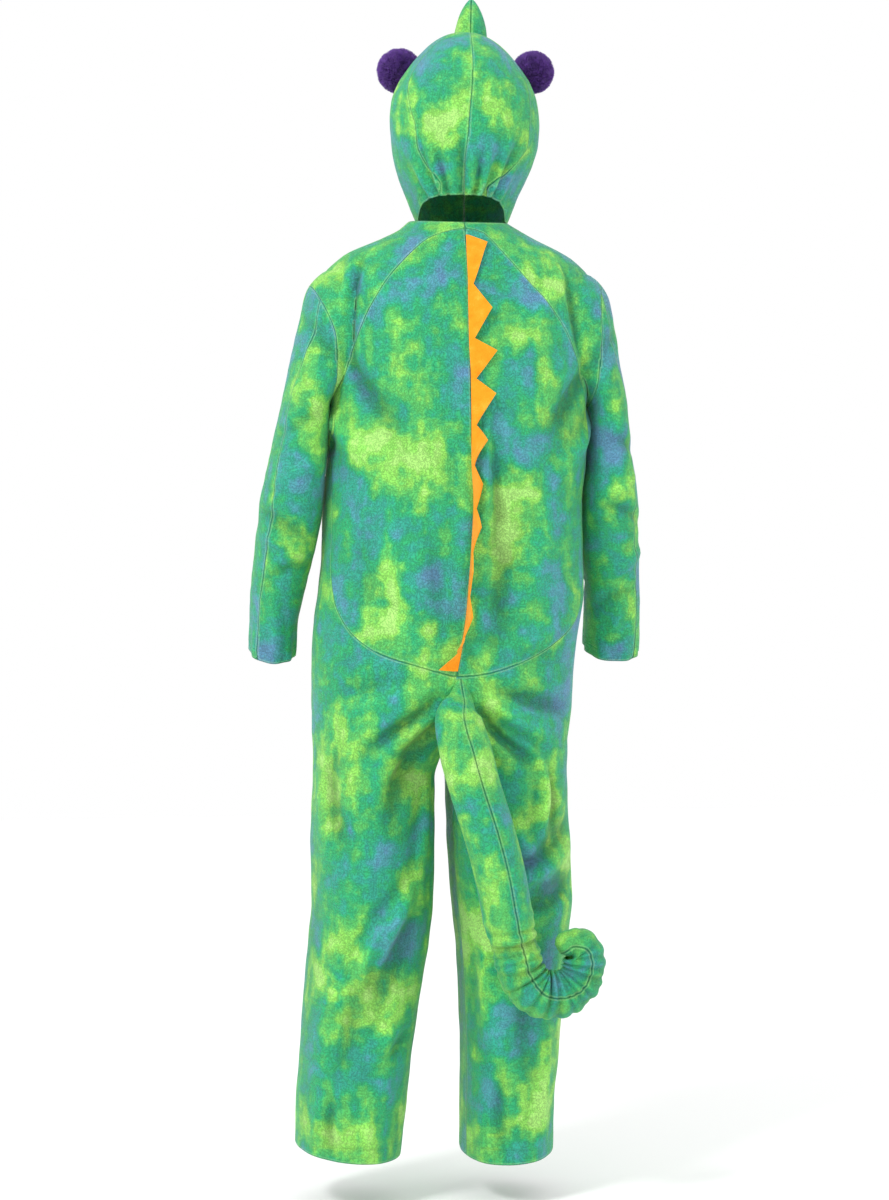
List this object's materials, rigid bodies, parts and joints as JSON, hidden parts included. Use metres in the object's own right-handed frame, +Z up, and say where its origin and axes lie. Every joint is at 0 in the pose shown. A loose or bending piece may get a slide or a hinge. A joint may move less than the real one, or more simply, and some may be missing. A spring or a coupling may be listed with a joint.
{
  "type": "chameleon costume",
  "caption": "Worn plush jumpsuit with a felt saw-tooth crest and a curled stuffed tail, and a separate hood with a stuffed horn and ball eyes.",
  "frame": {"origin": "middle of the suit's neck opening, level with its side edges, where the wearer's neck holds it", "axes": "+Z up, the front faces -Y, the wearer's left is +X"},
  "size_m": [0.613, 0.3578, 1.7706],
  "materials": {
    "dyed_plush": "short-pile plush with a crackled nap, tie-dyed in lime, green and teal",
    "orange_felt": "flat orange felt, 2 mm",
    "purple_fur": "short dark purple fur"
  },
  "bodies": {
    "root": {"oval_back_left": "dyed_plush", "oval_back_right": "dyed_plush", "side_back_left": "dyed_plush", "side_back_right": "dyed_plush", "front_left": "dyed_plush", "front_right": "dyed_plush", "sleeve_outer_left": "dyed_plush", "sleeve_inner_left": "dyed_plush", "sleeve_outer_right": "dyed_plush", "sleeve_inner_right": "dyed_plush", "crest": "orange_felt", "tail_outer": "dyed_plush", "tail_inner": "dyed_plush", "hood_back_left": "dyed_plush", "hood_back_right": "dyed_plush", "hood_side_left": "dyed_plush", "hood_side_right": "dyed_plush", "horn_left": "dyed_plush", "horn_right": "dyed_plush", "eye_left": "purple_fur", "eye_right": "purple_fur"}
  },
  "joints": []
}
